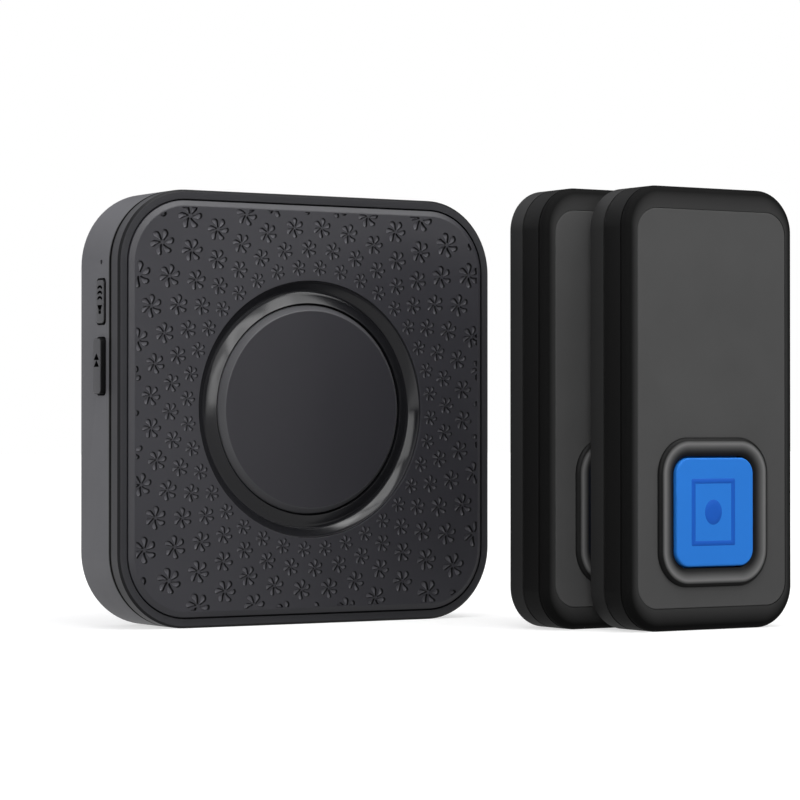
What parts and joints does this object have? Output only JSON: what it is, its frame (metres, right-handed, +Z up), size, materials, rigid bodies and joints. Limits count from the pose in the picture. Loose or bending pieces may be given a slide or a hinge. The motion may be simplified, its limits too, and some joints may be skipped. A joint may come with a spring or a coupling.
{
  "type": "wireless doorbell",
  "caption": "Wireless doorbell kit: square battery chime receiver with a dished ring around its speaker, and tall push-button transmitters on slide-on wall plates.",
  "frame": {"origin": "middle of the kit's footprint, on the ground", "axes": "+X to the right, +Y to the back (fronts face -Y), +Z up"},
  "size_m": [0.1264, 0.0803, 0.09],
  "materials": {
    "receiver_case": "fine matte texture",
    "pattern_panel": "satin",
    "gloss_ring": "polished",
    "centre_disc": "satin face, polished bevel",
    "transmitter_case": "satin",
    "transmitter_cover": "polished",
    "face_panel": "fine matte texture",
    "blue_button": "satin",
    "circuit_board": "solder mask",
    "black_electronics": "moulded",
    "plated_steel": "nickel plated",
    "cell_can": "drawn can",
    "magnet": "sintered",
    "speaker_film": "thin film",
    "soft_seal": "matte",
    "brass_contacts": "bare copper alloy",
    "led_lens": "clear"
  },
  "bodies": {
    "receiver": {"receiver_rear_shell": "receiver_case", "receiver_front_cover": "receiver_case", "receiver_pattern_panel": "pattern_panel", "receiver_trim_ring": "gloss_ring", "receiver_centre_disc": "centre_disc", "receiver_volume_switch_body": "black_electronics", "receiver_melody_switch_body": "black_electronics", "receiver_speaker_frame": "plated_steel", "receiver_speaker_magnet": "magnet", "receiver_speaker_cone": "speaker_film", "receiver_speaker_gasket": "soft_seal", "receiver_speaker_leads": "brass_contacts", "receiver_circuit_board": "circuit_board", "receiver_sound_chip": "black_electronics", "receiver_radio_module": "circuit_board", "receiver_antenna": "brass_contacts", "receiver_capacitor": "cell_can", "receiver_status_led": "led_lens", "receiver_battery_cell_lower": "cell_can", "receiver_battery_cell_upper": "cell_can", "receiver_battery_contact_plates": "plated_steel", "receiver_battery_springs": "plated_steel", "receiver_case_screws": "plated_steel"},
    "volume_key": {"receiver_volume_key": "receiver_case", "receiver_volume_switch_stem": "black_electronics"},
    "melody_key": {"receiver_melody_key": "receiver_case", "receiver_melody_switch_stem": "black_electronics"},
    "battery_door": {"receiver_battery_door": "receiver_case"},
    "transmitter_a_plate": {"transmitter_a_wall_plate": "transmitter_case"},
    "transmitter_a_case": {"transmitter_a_rear_case": "transmitter_case", "transmitter_a_front_cover": "transmitter_cover", "transmitter_a_face_panel": "face_panel", "transmitter_a_button_surround": "transmitter_cover", "transmitter_a_weather_seal": "soft_seal", "transmitter_a_circuit_board": "circuit_board", "transmitter_a_coin_cell": "cell_can", "transmitter_a_cell_clip": "plated_steel", "transmitter_a_switch_body": "black_electronics", "transmitter_a_radio_chip": "black_electronics"},
    "transmitter_a_push": {"transmitter_a_button": "blue_button", "transmitter_a_switch_stem": "black_electronics"},
    "transmitter_b_plate": {"transmitter_b_wall_plate": "transmitter_case"},
    "transmitter_b_case": {"transmitter_b_rear_case": "transmitter_case", "transmitter_b_front_cover": "transmitter_cover", "transmitter_b_face_panel": "face_panel", "transmitter_b_button_surround": "transmitter_cover", "transmitter_b_weather_seal": "soft_seal", "transmitter_b_circuit_board": "circuit_board", "transmitter_b_coin_cell": "cell_can", "transmitter_b_cell_clip": "plated_steel", "transmitter_b_switch_body": "black_electronics", "transmitter_b_radio_chip": "black_electronics"},
    "transmitter_b_push": {"transmitter_b_button": "blue_button", "transmitter_b_switch_stem": "black_electronics"}
  },
  "joints": [
    {"name": "volume_key_press", "type": "slide", "parent": "receiver", "child": "volume_key", "axis": [1, 0, 0], "range_m": [0, 0.0005], "stiffness_N_per_m": 2500},
    {"name": "melody_key_press", "type": "slide", "parent": "receiver", "child": "melody_key", "axis": [1, 0, 0], "range_m": [0, 0.0005], "stiffness_N_per_m": 2500},
    {"name": "battery_door_removal", "type": "slide", "parent": "receiver", "child": "battery_door", "axis": [0, 1, 0], "range_m": [0, 0.012]},
    {"name": "transmitter_a_lift", "type": "slide", "parent": "receiver", "child": "transmitter_a_plate", "axis": [0, 0, 1], "range_m": [0, 0.095]},
    {"name": "transmitter_a_slide_off", "type": "slide", "parent": "transmitter_a_plate", "child": "transmitter_a_case", "axis": [0, 0, 1], "range_m": [0, 0.008]},
    {"name": "transmitter_a_button_press", "type": "slide", "parent": "transmitter_a_case", "child": "transmitter_a_push", "axis": [0, 1, 0], "range_m": [0, 0.0006], "stiffness_N_per_m": 2500},
    {"name": "transmitter_b_lift", "type": "slide", "parent": "receiver", "child": "transmitter_b_plate", "axis": [0, 0, 1], "range_m": [0, 0.095]},
    {"name": "transmitter_b_slide_off", "type": "slide", "parent": "transmitter_b_plate", "child": "transmitter_b_case", "axis": [0, 0, 1], "range_m": [0, 0.008]},
    {"name": "transmitter_b_button_press", "type": "slide", "parent": "transmitter_b_case", "child": "transmitter_b_push", "axis": [0, 1, 0], "range_m": [0, 0.0006], "stiffness_N_per_m": 2500}
  ]
}
